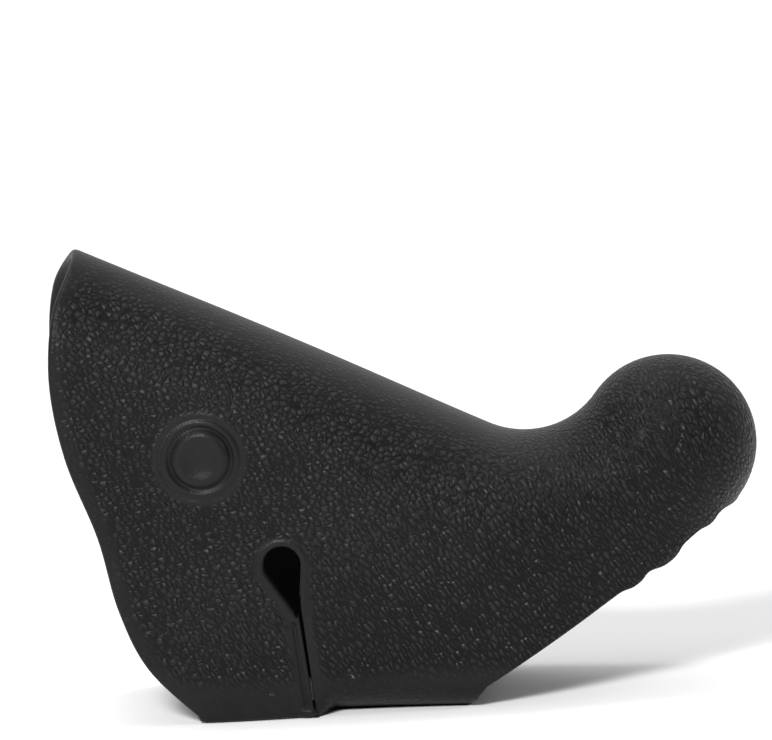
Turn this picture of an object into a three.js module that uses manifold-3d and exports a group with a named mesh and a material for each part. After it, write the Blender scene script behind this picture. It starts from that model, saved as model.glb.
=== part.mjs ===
import * as THREE from 'three';
import { mergeVertices } from 'three/addons/utils/BufferGeometryUtils.js';
import Module from 'manifold-3d';

const wasm = await Module();
wasm.setup();
const { Manifold, Mesh: SolidMesh } = wasm;

// Sizes in mm. +X runs forward to the knob, +Z up, and the thumb lever side faces -Y.
const crownStart = { x: -46.4, z: 71.9 };     // top of the rear mouth
const crownFall = 26.3;                       // degrees that the crown line falls going forward
const crownBulge = 0.3;                       // rise of the crown line at its middle
const saddleRadius = 13;                      // hollow between the crown line and the knob
const knobRadius = 13.6;
const knobCentre = { x: 43.1, z: 36.9 };
const knobExit = -35;                         // degrees, where the knob's round ends at its foot
const shoulderRear = 14.5;                    // depth over which the crown rounds into the walls
const shoulderKnob = 12.8;
const shoulderFrom = 0;                       // where the shoulder starts to change from one to the other
const shoulderRun = 30;
const rearHalfWidth = 15.4;
const bodyHalfWidth = 18.2;
const knobHalfWidth = 13.2;
const flareRun = 56.4;                        // length over which the rear width grows to the body's
const bodyFull = 2;                           // where the body has its full width
const neckStart = 10;                         // where it starts to narrow to the knob
const waistHeight = 32;                       // height at which the walls stand widest
const bottomTuck = 3.2;                       // how far each wall leans in at the bottom by the chin
const rearTuck = 0.2;                         // and at the rear
const tuckFrom = -34;                         // where the lean starts to grow from one to the other
const tuckRun = 38;
const topLean = 1.6;                          // how far each wall leans in under the crown at the rear
const chinCorner = 3.8;                       // radius between the walls and the flat underside, at the chin
const bridgeCorner = 7.4;                     // the same just ahead of the slit
const rearCorner = 0.7;                       // and behind it
const cornerRun = 3.6;                        // length over which it grows from the slit's foot on
const wall = 2.2;
const rearWall = 1.5;                         // wall at the rear mouth's rim
const rimBack = 4;                            // the wall starts to grow this far behind the crown's start
const rimRun = 18;
const openingEnd = -9.5;                      // forward end of the opening in the underside
const openingLip = 2.6;                       // underside left along each side of that opening
const chinX = 11.4;                           // forward end of the flat underside
const chinRun = 2;                            // the chin's short slope up to the front mouth
const chinRise = 3.1;
const footGap = 0.2;                          // the front mouth's edge passes this far under the knob's foot
const mouthBow = 0.42;                        // how far that edge bows outward
const holeCentre = { x: -17, z: 24.4 };       // teardrop hole
const holeRadius = 2.85;
const holeTip = { x: -15.2, z: 16.3 };
const tipSpan = { x: 0.5, z: 0.85 };          // from the tip to the corner where the slit leaves the hole
const holeRim = 1.1;                          // width of the raised lip round the hole
const rimHeight = 0.28;
const slitFoot = { x: -12.9, z: -0.6 };
const slitWidth = 0.62;
const grooveOffset = 1.25;                    // groove beside the slit
const grooveWidth = 0.5;
const grooveDepth = 0.4;
const grooveDrop = 0.9;                       // it starts this far under the hole's tip
const buttonCentre = { x: -28.6, z: 41.4 };
const discRadius = 4.45;                      // dished disc in the button's middle
const discHeight = 0.95;
const dishDepth = 0.5;
const ridgeRadius = 5.55;
const ridgeHeight = 0.42;
const collarRadius = 6.95;
const collarHeight = 0.2;
const buttonGroove = 0.12;                    // depth of the grooves between disc, ridge and collar
const buttonRoot = 1.3;                       // how deep the button's solid reaches into the wall
const panelCentre = { x: -1, z: 24.5 };       // plain smooth panel on the outer side
const panelHalf = { x: 9.5, z: 11.5 };
const panelDepth = 0.3;
const overrun = 9;                            // how far cutting forms run past the moulding

// Rear mouth edge: how far it stands behind the crown's start, and at what height
const rearEdge = [
  { back: 3.5, z: 64.5 },
  { back: 4.7, z: 54 },
  { back: 2.9, z: 42 },
  { back: -1.4, z: 29.5 },
  { back: -4, z: 18 },
  { back: -8.2, z: 8.5 },
  { back: -16.5, z: 0 },
];

// Soft lobes on the front mouth's lip: distance back from the knob's foot, half length, rise and half width
const lipLobes = [
  { back: 14.6, half: 3.2, rise: 0.85, width: 1.3 },
  { back: 20.6, half: 2.4, rise: 0.55, width: 1.2 },
  { back: 6.2, half: 1.6, rise: 0.35, width: 1.2 },
];
const footLobe = { back: 1, half: 2, rise: 0.85, width: 4.5 };

const degree = Math.PI / 180;

// The crown line in the side plane: a falling line, the saddle's arc and the knob's arc.
function layOutCrown() {
  const along = new THREE.Vector2(Math.cos(crownFall * degree), -Math.sin(crownFall * degree));
  const up = new THREE.Vector2(-along.y, along.x);
  const start = new THREE.Vector2(crownStart.x, crownStart.z);
  const knob = new THREE.Vector2(knobCentre.x, knobCentre.z);
  const lift = start.clone().addScaledVector(up, saddleRadius);
  const gap = knob.clone().sub(lift);
  const rise = gap.dot(up);
  const reach = gap.dot(along) - Math.sqrt((saddleRadius + knobRadius) ** 2 - rise ** 2);
  const saddle = lift.clone().addScaledVector(along, reach);
  const exit = knobExit * degree;
  const foot = knob.clone().add(new THREE.Vector2(Math.cos(exit), Math.sin(exit)).multiplyScalar(knobRadius));
  const lineEnd = start.x + along.x * reach;
  const join = THREE.MathUtils.lerp(saddle.x, knob.x, saddleRadius / (saddleRadius + knobRadius));
  return { along, up, start, knob, saddle, reach, exit, foot, lineEnd, join };
}

const crown = layOutCrown();
const rearEnd = crownStart.x - Math.max(...rearEdge.map((point) => point.back)) - overrun;
const sideReach = bodyHalfWidth + overrun;

function crownPoints() {
  const points = [];
  for (let s = rearEnd - crownStart.x - overrun; s < crown.reach; s += crown.reach / 24) {
    const t = THREE.MathUtils.clamp(s / crown.reach, 0, 1);
    const bulge = crownBulge * 16 * t * t * (1 - t) * (1 - t);
    points.push(crown.start.clone().addScaledVector(crown.along, s).addScaledVector(crown.up, bulge));
  }
  const toKnob = crown.knob.clone().sub(crown.saddle).angle();
  const first = crown.up.clone().negate().angle();
  const count = 24;
  for (let i = 0; i <= count; i += 1) {
    const a = THREE.MathUtils.lerp(first, toKnob, i / count);
    const spoke = new THREE.Vector2(Math.cos(a), Math.sin(a));
    points.push(crown.saddle.clone().addScaledVector(spoke, saddleRadius));
  }
  const back = toKnob > Math.PI ? toKnob - Math.PI : toKnob + Math.PI;
  for (let i = 1; i <= 2 * count; i += 1) {
    const a = THREE.MathUtils.lerp(back, crown.exit, i / (2 * count));
    const spoke = new THREE.Vector2(Math.cos(a), Math.sin(a));
    points.push(crown.knob.clone().addScaledVector(spoke, knobRadius));
  }
  const down = new THREE.Vector2(Math.sin(crown.exit), -Math.cos(crown.exit));
  points.push(crown.foot.clone().addScaledVector(down, (crown.foot.y + overrun) / Math.cos(crown.exit)));
  return points;
}

const crownLine = crownPoints();

// Distance from a point in the side plane to the crown line.
function depthUnderCrown(x, z) {
  let best = Infinity;
  for (let i = 1; i < crownLine.length; i += 1) {
    const a = crownLine[i - 1];
    const b = crownLine[i];
    const ex = b.x - a.x;
    const ez = b.y - a.y;
    const t = THREE.MathUtils.clamp(((x - a.x) * ex + (z - a.y) * ez) / (ex * ex + ez * ez), 0, 1);
    best = Math.min(best, Math.hypot(x - a.x - t * ex, z - a.y - t * ez));
  }
  return best;
}

function crownHeight(x) {
  if (x >= crown.knob.x) {
    return crown.knob.y + Math.sqrt(Math.max(knobRadius ** 2 - (x - crown.knob.x) ** 2, 0));
  }
  for (let i = 1; i < crownLine.length; i += 1) {
    const a = crownLine[i - 1];
    const b = crownLine[i];
    if (x >= a.x && x <= b.x) {
      return THREE.MathUtils.lerp(a.y, b.y, (x - a.x) / (b.x - a.x));
    }
  }
  return crownLine[0].y;
}

function footHeight(x) {
  if (x >= crown.foot.x) {
    return crown.knob.y - Math.sqrt(Math.max(knobRadius ** 2 - (x - crown.knob.x) ** 2, 0));
  }
  return crown.foot.y - (crown.foot.x - x) / Math.tan(-crown.exit);
}

function easeBetween(x, from, to) {
  return THREE.MathUtils.smootherstep(x, from, to);
}

function wallThickness(x) {
  const from = crownStart.x - rimBack;
  return THREE.MathUtils.lerp(rearWall, wall, easeBetween(x, from, from + rimRun));
}

// The underside's corners are round under the bridge and nearly square behind the slit.
function cornerRadius(x, inset) {
  const grown = slitFoot.x + cornerRun;
  const bridge = THREE.MathUtils.mapLinear(Math.max(x, grown), grown, chinX, bridgeCorner, chinCorner);
  const front = Math.max(bridge, chinCorner);
  const round = THREE.MathUtils.lerp(rearCorner, front, easeBetween(x, slitFoot.x - slitWidth, grown));
  return Math.max(round - inset, 0.5);
}

// Half width of the walls, before the crown and the bottom corners round them off.
function wallHalfWidth(x, z) {
  const flare = easeBetween(x, bodyFull - flareRun, bodyFull);
  const body = THREE.MathUtils.lerp(rearHalfWidth, bodyHalfWidth, flare);
  const base = THREE.MathUtils.lerp(body, knobHalfWidth, easeBetween(x, neckStart, crown.knob.x));
  const tuck = THREE.MathUtils.lerp(rearTuck, bottomTuck, easeBetween(x, tuckFrom, tuckFrom + tuckRun));
  const low = Math.max(0, 1 - z / waistHeight);
  const high = Math.max(0, (z - waistHeight) / (crownStart.z - waistHeight));
  return base - tuck * low * low - topLean * high * high;
}

// Half width of the form at a point in the side plane, moved in by inset all round.
function halfWidth(x, z, inset = 0, floor = 0) {
  const corner = cornerRadius(x, inset);
  const turn = easeBetween(x, shoulderFrom, shoulderFrom + shoulderRun);
  const shoulder = THREE.MathUtils.lerp(shoulderRear, shoulderKnob, turn) - inset;
  const depth = THREE.MathUtils.clamp((depthUnderCrown(x, z) - inset) / shoulder, 0, 1);
  const round = Math.sqrt(Math.max(0, 1 - (1 - depth) ** 2));
  const height = Math.min(z - floor, corner);
  const cut = corner - Math.sqrt(Math.max(0, corner ** 2 - (corner - height) ** 2));
  return Math.max(0, (wallHalfWidth(x, z) - inset) * round - cut);
}

function solveHeight(x, inset, from, to) {
  let near = from;
  let far = to;
  for (let i = 0; i < 40; i += 1) {
    const middle = (near + far) / 2;
    if (depthUnderCrown(x, middle) < inset) {
      near = middle;
    } else {
      far = middle;
    }
  }
  return far;
}

// Section heights at one station, from the crown down to the underside or the knob's foot.
function spanAt(x, inset, floor) {
  const top = crownHeight(x);
  const foot = Math.max(footHeight(x), floor);
  const middle = x < crown.knob.x ? Math.min(top - 3 * wall, crown.knob.y) : crown.knob.y;
  if (inset === 0) {
    return [top, foot];
  }
  const high = solveHeight(x, inset, top, middle);
  const low = Math.max(floor, solveHeight(x, inset, Math.min(footHeight(x), middle), middle));
  return [high, low];
}

// Stations along the straight crown, the saddle and the knob, closer together at the slit's foot and the tip.
function stationList(from, rearSteps, midSteps, knobSteps, inset) {
  const list = [];
  for (let i = 0; i < rearSteps; i += 1) {
    list.push(THREE.MathUtils.lerp(from, crown.lineEnd, i / rearSteps));
  }
  for (let i = 0; i < midSteps; i += 1) {
    list.push(THREE.MathUtils.lerp(crown.lineEnd, crown.join, i / midSteps));
  }
  const end = crown.knob.x + knobRadius - inset;
  for (let i = 0; i <= knobSteps; i += 1) {
    list.push(THREE.MathUtils.lerp(crown.join, end, Math.sin((i / knobSteps) * Math.PI / 2)));
  }
  const close = cornerRun / 4;
  const [low, high] = [slitFoot.x - 1.5 * close, slitFoot.x + cornerRun + 1.5 * close];
  const kept = list.filter((x) => x < low || x > high);
  for (let x = low + close / 2; x < high; x += close) {
    kept.push(x);
  }
  return kept.sort((a, b) => a - b);
}

function solidFromGrid(rings) {
  const positions = [];
  const quad = (a, b, c, d) => {
    positions.push(...a, ...b, ...c, ...a, ...c, ...d);
  };
  const last = rings.length - 1;
  for (let i = 0; i < last; i += 1) {
    const size = rings[i].length;
    for (let j = 0; j < size; j += 1) {
      const k = (j + 1) % size;
      quad(rings[i][j], rings[i][k], rings[i + 1][k], rings[i + 1][j]);
    }
  }
  const first = rings[0];
  const half = first.length / 2;
  for (let j = 0; j < half - 1; j += 1) {
    quad(first[j], first[first.length - 1 - j], first[first.length - 2 - j], first[j + 1]);
  }
  const geometry = new THREE.BufferGeometry();
  geometry.setAttribute('position', new THREE.Float32BufferAttribute(positions, 3));
  return geometry;
}

// The whole form as sections across the hood, from behind the rear mouth to the knob's tip.
function formSolid(insetAt, floor, from, steps, rows) {
  const rings = stationList(from, steps[0], steps[1], steps[2], insetAt(crown.knob.x)).map((x) => {
    const inset = insetAt(x);
    const [top, low] = spanAt(x, inset, floor);
    const near = [];
    const far = [];
    for (let j = 0; j <= rows; j += 1) {
      const z = THREE.MathUtils.lerp(top, low, (1 - Math.cos((Math.PI * j) / rows)) / 2);
      const y = j === 0 || top - low < 0.01 ? 0 : halfWidth(x, z, inset, floor);
      near.push([x, -y, z]);
      far.push([x, y, z]);
    }
    return [...near, ...far.reverse()];
  });
  return toSolid(solidFromGrid(rings));
}

function toSolid(geometry) {
  const bare = new THREE.BufferGeometry();
  bare.setAttribute('position', geometry.getAttribute('position').clone());
  if (geometry.index) {
    bare.setIndex(geometry.index.clone());
  }
  const merged = mergeVertices(bare, 1e-4);
  const index = merged.index.array;
  const kept = [];
  for (let i = 0; i < index.length; i += 3) {
    const [a, b, c] = [index[i], index[i + 1], index[i + 2]];
    if (a !== b && b !== c && c !== a) {
      kept.push(a, b, c);
    }
  }
  const mesh = new SolidMesh({
    numProp: 3,
    vertProperties: new Float32Array(merged.getAttribute('position').array),
    triVerts: new Uint32Array(kept),
  });
  const solid = new Manifold(mesh);
  if (solid.volume() < 0) {
    throw new Error('inside out');
  }
  return solid;
}

function toGeometry(solid) {
  const mesh = solid.getMesh();
  const geometry = new THREE.BufferGeometry();
  geometry.setAttribute('position', new THREE.Float32BufferAttribute(mesh.vertProperties, 3));
  geometry.setIndex(new THREE.Uint32BufferAttribute(mesh.triVerts, 1));
  return geometry;
}

// A side-plane outline pushed through in Y.
function throughSide(shape, fromY, toY, curveSegments = 12) {
  const options = { depth: toY - fromY, bevelEnabled: false, curveSegments };
  const geometry = new THREE.ExtrudeGeometry(shape, options);
  geometry.rotateX(Math.PI / 2);
  geometry.translate(0, toY, 0);
  return toSolid(geometry);
}

function rearMouthCurve() {
  const edge = rearEdge.map(({ back, z }) => new THREE.Vector2(crownStart.x - back, z));
  const last = edge[edge.length - 1];
  const above = new THREE.Vector2(crownStart.x + 1.8, crownStart.z + 6);
  const below = new THREE.Vector2(last.x + 3.9, last.y - 3);
  return new THREE.SplineCurve([above, crown.start, ...edge, below]);
}

// Front mouth edge: from the top of the chin to just under the knob's foot.
function layOutMouth() {
  const start = new THREE.Vector2(chinX + chinRun, chinRise);
  const end = new THREE.Vector2(crown.foot.x, crown.foot.y - footGap);
  const along = end.clone().sub(start).normalize();
  const out = new THREE.Vector2(along.y, -along.x);
  return { start, along, out, length: end.distanceTo(start), angle: along.angle() };
}

const mouth = layOutMouth();

function mouthPoint(s) {
  const bow = mouthBow * Math.sin(Math.PI * Math.min(1, s / mouth.length));
  return mouth.start.clone().addScaledVector(mouth.along, s).addScaledVector(mouth.out, bow);
}

function frontMouthPoints() {
  const points = [new THREE.Vector2(chinX, -chinRun), new THREE.Vector2(chinX + 0.1, 0.4)];
  const steps = 36;
  for (let i = 0; i <= steps; i += 1) {
    points.push(mouthPoint((i / steps) * mouth.length));
  }
  points.push(mouthPoint(mouth.length + overrun));
  return points;
}

// Side outline of the hood between its two mouths; the crown stays free above it.
function outlineSolid() {
  const front = frontMouthPoints();
  const rear = rearMouthCurve().getPoints(36);
  const ceiling = rear[0].y + 2 * overrun;
  const ahead = new THREE.Vector2(front[front.length - 1].x + overrun, ceiling);
  const behind = new THREE.Vector2(rear[0].x, ceiling);
  const shape = new THREE.Shape([...front, ahead, behind, ...rear]);
  return throughSide(shape, -sideReach, sideReach);
}

function openingHalf() {
  return halfWidth(openingEnd - bodyHalfWidth * 0.6, 0) - openingLip;
}

// Opening in the underside: open to the rear, with a round forward end.
function undersideOpening() {
  const half = openingHalf();
  const past = wall * 0.7;
  const shape = new THREE.Shape();
  shape.moveTo(rearEnd, -half);
  shape.lineTo(openingEnd - half * 0.8, -half);
  shape.bezierCurveTo(openingEnd - half * 0.15, -half, openingEnd, -half * 0.7, openingEnd, 0);
  shape.bezierCurveTo(openingEnd, half * 0.7, openingEnd - half * 0.15, half, openingEnd - half * 0.8, half);
  shape.lineTo(rearEnd, half);
  const options = { depth: wall + 2 * past, bevelEnabled: false, curveSegments: 10 };
  const geometry = new THREE.ExtrudeGeometry(shape, options);
  geometry.translate(0, 0, -past);
  return toSolid(geometry);
}

// Round above, with a tip below whose front corner leads into the slit; grow widens it all round.
function teardropShape(grow) {
  const centre = new THREE.Vector2(holeCentre.x, holeCentre.z);
  const radius = holeRadius + grow;
  const tip = new THREE.Vector2(holeTip.x, holeTip.z);
  const corner = tip.clone().add(new THREE.Vector2(tipSpan.x, tipSpan.z));
  const spokes = [corner, tip].map((point) => {
    const spoke = point.clone().sub(centre);
    return spoke.setLength(spoke.length() + grow * 1.5);
  });
  const [front, rear] = spokes.map((spoke) => ({
    heading: spoke.angle(),
    spread: Math.acos(radius / spoke.length()),
  }));
  const shape = new THREE.Shape();
  const from = front.heading + front.spread;
  shape.absarc(centre.x, centre.y, radius, from, rear.heading - rear.spread + 2 * Math.PI, false);
  shape.lineTo(centre.x + spokes[1].x, centre.y + spokes[1].y);
  shape.lineTo(centre.x + spokes[0].x, centre.y + spokes[0].y);
  shape.closePath();
  return shape;
}

function slitTop() {
  return new THREE.Vector2(holeTip.x + tipSpan.x, holeTip.z + tipSpan.z + slitWidth);
}

function stripShape(from, to, width, shift) {
  const along = to.clone().sub(from).normalize();
  const side = new THREE.Vector2(-along.y, along.x);
  const corner = (end, sign) => end.clone().addScaledVector(side, shift + sign * width / 2);
  return new THREE.Shape([corner(from, -1), corner(to, -1), corner(to, 1), corner(from, 1)]);
}

function slitSolid() {
  const foot = new THREE.Vector2(slitFoot.x, slitFoot.z);
  return throughSide(stripShape(slitTop(), foot, slitWidth, 0), -sideReach, -openingHalf() / 2);
}

function buttonFrame() {
  const { x, z } = buttonCentre;
  const step = 3;
  const width = (px, pz) => halfWidth(px, pz);
  const slopeX = (width(x + step, z) - width(x - step, z)) / (2 * step);
  const slopeZ = (width(x, z + step) - width(x, z - step)) / (2 * step);
  const out = new THREE.Vector3(-slopeX, -1, -slopeZ).normalize();
  const turn = new THREE.Quaternion().setFromUnitVectors(new THREE.Vector3(0, 1, 0), out);
  const at = new THREE.Vector3(x, -width(x, z), z);
  return new THREE.Matrix4().compose(at, turn, new THREE.Vector3(1, 1, 1));
}

function turned(profile, segments) {
  const points = profile.map(([r, h]) => new THREE.Vector2(r, h));
  const geometry = new THREE.LatheGeometry(points, segments);
  geometry.applyMatrix4(buttonFrame());
  return toSolid(geometry);
}

// Round boss: collar, groove, ridge and a dished disc, turned about the wall's own normal.
function buttonSolid() {
  const edge = discRadius + 0.3;
  return turned([
    [0, -buttonRoot],
    [collarRadius + 0.4, -buttonRoot],
    [collarRadius + 0.4, -0.1],
    [collarRadius, collarHeight],
    [collarRadius - 0.5, 0.1],
    [(ridgeRadius + collarRadius) / 2, -buttonGroove / 2],
    [ridgeRadius + 0.3, ridgeHeight * 0.7],
    [ridgeRadius, ridgeHeight],
    [ridgeRadius - 0.35, ridgeHeight * 0.6],
    [edge, -buttonGroove],
    [discRadius, 0.2],
    [discRadius * 0.88, discHeight * 0.88],
    [discRadius * 0.77, discHeight],
    [discRadius * 0.65, discHeight * 0.9],
    [discRadius * 0.45, discHeight - dishDepth * 0.7],
    [0, discHeight - dishDepth],
  ], 40);
}

function buttonPocket() {
  const radius = (ridgeRadius + collarRadius) / 2;
  const [under, over] = [-buttonRoot / 2, buttonRoot * 2];
  return turned([[0, under], [radius, under], [radius, over], [0, over]], 32);
}

// A patch of the wall's own surface on one side, from under it to over it.
function wallPatch(box, under, over, side) {
  const [x0, x1, z0, z1] = box;
  const columns = Math.ceil((x1 - x0) / 2.5);
  const rows = Math.ceil((z1 - z0) / 2.5);
  const geometry = new THREE.BoxGeometry(1, 1, 1, columns, 1, rows);
  const position = geometry.getAttribute('position');
  for (let i = 0; i < position.count; i += 1) {
    const x = THREE.MathUtils.lerp(x0, x1, position.getX(i) + 0.5);
    const z = THREE.MathUtils.lerp(z0, z1, position.getZ(i) + 0.5);
    const shift = position.getY(i) * side > 0 ? over : -under;
    position.setXYZ(i, x, side * (halfWidth(x, z) + shift), z);
  }
  return toSolid(geometry);
}

function holeLip() {
  const reach = holeRadius + holeRim + rimHeight;
  const { x, z } = holeCentre;
  const box = [x - reach, x + reach, holeTip.z - 3 * holeRim, z + reach];
  const drop = throughSide(teardropShape(holeRim), -sideReach, 0, 20);
  return wallPatch(box, wall / 2, rimHeight, -1).intersect(drop);
}

function slitGroove() {
  const foot = new THREE.Vector2(slitFoot.x, slitFoot.z);
  const top = foot.clone().lerp(slitTop(), (holeTip.z - grooveDrop - foot.y) / (slitTop().y - foot.y));
  const box = [top.x - 4 * grooveOffset, foot.x + grooveOffset, 0.8, holeTip.z];
  const strip = throughSide(stripShape(top, foot, grooveWidth, -grooveOffset), -sideReach, 0);
  return wallPatch(box, grooveDepth, wall, -1).intersect(strip);
}

function sidePanel() {
  const { x, z } = panelCentre;
  const margin = wall / 2;
  const [reachX, reachZ] = [panelHalf.x + margin, panelHalf.z + margin];
  const box = [x - reachX, x + reachX, z - reachZ, z + reachZ];
  const shape = new THREE.Shape();
  shape.absellipse(x, z, panelHalf.x, panelHalf.z, 0, 2 * Math.PI);
  return wallPatch(box, panelDepth, wall, 1).intersect(throughSide(shape, 0, sideReach, 20));
}

function lobe({ back, half, rise, width }, y) {
  const at = mouthPoint(mouth.length - back);
  const geometry = new THREE.SphereGeometry(1, 14, 10);
  geometry.scale(half, width, 2 * rise);
  geometry.translate(0, 0, rise);
  geometry.rotateY(-mouth.angle);
  geometry.translate(at.x, y, at.y);
  return toSolid(geometry);
}

function sideLobe(spec) {
  const at = mouthPoint(mouth.length - spec.back);
  return lobe(spec, spec.width - halfWidth(at.x, at.y));
}

function hoodGeometry() {
  const outer = formSolid(() => 0, 0, rearEnd, [19, 7, 13], 24);
  const inner = formSolid(wallThickness, wall, rearEnd - wall, [15, 6, 11], 20);
  let hood = outer.intersect(outlineSolid())
    .subtract(inner)
    .subtract(undersideOpening())
    .add(holeLip())
    .subtract(throughSide(teardropShape(0), -sideReach, -openingHalf() / 2, 20))
    .subtract(slitSolid())
    .subtract(slitGroove())
    .subtract(buttonPocket())
    .add(buttonSolid())
    .subtract(sidePanel());
  for (const spec of lipLobes) {
    hood = hood.add(sideLobe(spec));
  }
  return toGeometry(hood.add(lobe(footLobe, 0)));
}

function rubber() {
  return new THREE.MeshStandardMaterial({ name: 'rubber', color: 0x2b2b2c, roughness: 0.75 });
}

const group = new THREE.Group();
group.name = 'brake_lever_hood';
const hood = new THREE.Mesh(hoodGeometry(), rubber());
hood.name = 'hood';
group.add(hood);

export default group;
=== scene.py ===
import math
import bpy
import numpy as np
from mathutils import Matrix, Vector
from mathutils.geometry import delaunay_2d_cdt


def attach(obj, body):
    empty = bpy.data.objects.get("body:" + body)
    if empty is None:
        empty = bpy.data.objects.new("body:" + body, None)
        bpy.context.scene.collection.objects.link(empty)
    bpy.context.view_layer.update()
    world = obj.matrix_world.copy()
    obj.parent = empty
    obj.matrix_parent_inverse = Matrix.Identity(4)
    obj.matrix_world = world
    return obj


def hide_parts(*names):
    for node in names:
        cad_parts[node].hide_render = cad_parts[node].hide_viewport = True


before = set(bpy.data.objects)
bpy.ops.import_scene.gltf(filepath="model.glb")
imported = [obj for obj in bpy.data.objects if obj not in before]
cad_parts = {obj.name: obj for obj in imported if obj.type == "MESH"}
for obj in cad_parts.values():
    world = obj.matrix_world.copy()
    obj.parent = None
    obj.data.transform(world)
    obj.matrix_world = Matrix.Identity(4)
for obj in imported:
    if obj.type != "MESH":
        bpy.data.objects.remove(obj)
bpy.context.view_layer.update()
scene = bpy.context.scene
mm = 0.001

# Sizes of the moulding in mm, in the part's own frame: +X to the knob, +Z up, -Y the thumb lever side
hood = {
    "crownStart": (-46.4, 71.9),
    "crownFall": 26.3,
    "crownBulge": 0.3,
    "saddleRadius": 13.0,
    "knobRadius": 13.6,
    "knobCentre": (43.1, 36.9),
    "knobExit": -35.0,
    "shoulderRear": 14.5,
    "shoulderKnob": 12.8,
    "rearHalfWidth": 15.4,
    "bodyHalfWidth": 18.2,
    "knobHalfWidth": 13.2,
    "flareRun": 56.4,       # length over which the rear width grows to the body's
    "bodyFull": 2.0,        # where the body has its full width
    "neckStart": 10.0,      # where it starts to narrow to the knob
    "shoulderFrom": 0.0,    # where the shoulder starts to change from the rear's depth to the knob's
    "shoulderRun": 30.0,
    "bottomTuck": 3.2,
    "rearTuck": 0.2,
    "tuckFrom": -34.0,
    "tuckRun": 38.0,
    "waistHeight": 32.0,
    "topLean": 1.6,
    "chinCorner": 3.8,
    "bridgeCorner": 7.4,
    "rearCorner": 0.7,
    "cornerRun": 3.6,
    "wall": 2.2,
    "rearWall": 1.5,
    "rimBack": 4.0,         # the wall starts to grow this far behind the crown's start
    "rimRun": 18.0,
    "openingEnd": -9.5,
    "openingStart": -15.5,
    "chinX": 11.4,
    "chinRun": 2.0,
    "chinRise": 3.1,
    "footGap": 0.2,
    "mouthBow": 0.42,
    # how far the rear mouth's edge stands behind the crown's start, and at what height
    "rearEdge": [(-1.8, 77.9), (0, 71.9), (3.5, 64.5), (4.7, 54), (2.9, 42),
                 (-1.4, 29.5), (-4, 18), (-8.2, 8.5), (-16.5, 0), (-20.4, -3)],
    "spacing": 0.85,        # size of the mesh's cells over the plain walls
    "rimRound": 0.55,       # how far the rounded rims bulge past the sheet's edge
    "bottomRound": 1.0,     # the same along the free bottom edges
}
button = {
    "centre": (-28.6, 41.4),
    # radius and height of the boss's profile, from the middle out
    "profile": [(0, 0.45), (1.2, 0.48), (2.2, 0.62), (2.9, 0.86), (3.4, 0.95), (3.9, 0.85),
                (4.3, 0.50), (4.55, 0.05), (4.75, -0.12), (4.95, -0.05), (5.2, 0.28), (5.55, 0.42),
                (5.85, 0.30), (6.1, 0.05), (6.35, 0.0), (6.65, 0.16), (6.95, 0.20), (7.3, 0.08), (7.7, 0.0)],
    "extraRings": (0.6, 1.7, 3.15, 3.65, 4.1, 4.65, 5.4, 5.7, 5.98, 8.1),    # radii of more rings of points
    "flatTo": 6.2,          # inside this radius the boss lies flat, outside it joins the wall
}
hole = {
    "centre": (-17.0, 24.4),
    "radius": 2.85,
    "tip": (-15.2, 16.3),
    "tipSpan": (0.5, 0.85),    # from the tip to the corner where the slit leaves the hole
    "lipWidth": 1.2,
    "lipHeight": 0.28,
    "rimRound": 0.3,
    "slitFoot": (-12.9, -0.6),
    "slitWidth": 0.62,
    "slitRound": 0.085,
    "slitFootShare": 0.6,      # how much of its width the slit keeps at its foot
    "grooveOffset": 1.25,
    "grooveDrop": 0.9,
    "grooveDepth": 0.42,
    "grooveHalf": 0.36,
    "tabHalf": 1.15,           # the small tab where the strip beside the slit ends
    "tabHeight": (0.6, 2.6),   # full up to the first height, gone at the second
}
panel = {"centre": (-1.0, 24.5), "half": (9.5, 11.5), "depth": 0.3}
# Soft lobes on the front mouth's lip: distance back from the knob's foot, half length and rise
lobes = {
    "lip": [(14.6, 3.2, 0.85), (20.6, 2.4, 0.55), (6.2, 1.6, 0.35)],
    "foot": (1.0, 2.0, 0.85),
}


def smoothStep(x, low, high):
    t = np.clip((np.asarray(x, float) - low) / (high - low), 0, 1)
    return t * t * t * (t * (t * 6 - 15) + 10)


def mix(a, b, t):
    return a + (b - a) * t


def layOutCrown():
    # a falling line, the saddle's arc and the knob's arc, each tangent to the next
    fall = math.radians(hood["crownFall"])
    along = np.array([math.cos(fall), -math.sin(fall)])
    up = np.array([-along[1], along[0]])
    start = np.array(hood["crownStart"], float)
    knob = np.array(hood["knobCentre"], float)
    gap = knob - (start + up * hood["saddleRadius"])
    rise = gap @ up
    reach = gap @ along - math.sqrt((hood["saddleRadius"] + hood["knobRadius"]) ** 2 - rise ** 2)
    saddle = start + up * hood["saddleRadius"] + along * reach
    leaveAngle = math.radians(hood["knobExit"])
    foot = knob + hood["knobRadius"] * np.array([math.cos(leaveAngle), math.sin(leaveAngle)])
    down = np.array([math.sin(leaveAngle), -math.cos(leaveAngle)])
    toKnob = math.atan2(*(knob - saddle)[::-1])
    return {"along": along, "up": up, "start": start, "knob": knob, "reach": reach, "saddle": saddle,
            "leaveAngle": leaveAngle, "foot": foot, "down": down, "toKnob": toKnob,
            "joinX": (saddle + hood["saddleRadius"] * (knob - saddle) / np.linalg.norm(knob - saddle))[0],
            "lineX": (start + along * reach)[0]}


crown = layOutCrown()


def crownBulge(s):
    t = np.clip(s / crown["reach"], 0, 1)
    return hood["crownBulge"] * 16 * t ** 2 * (1 - t) ** 2


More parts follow.
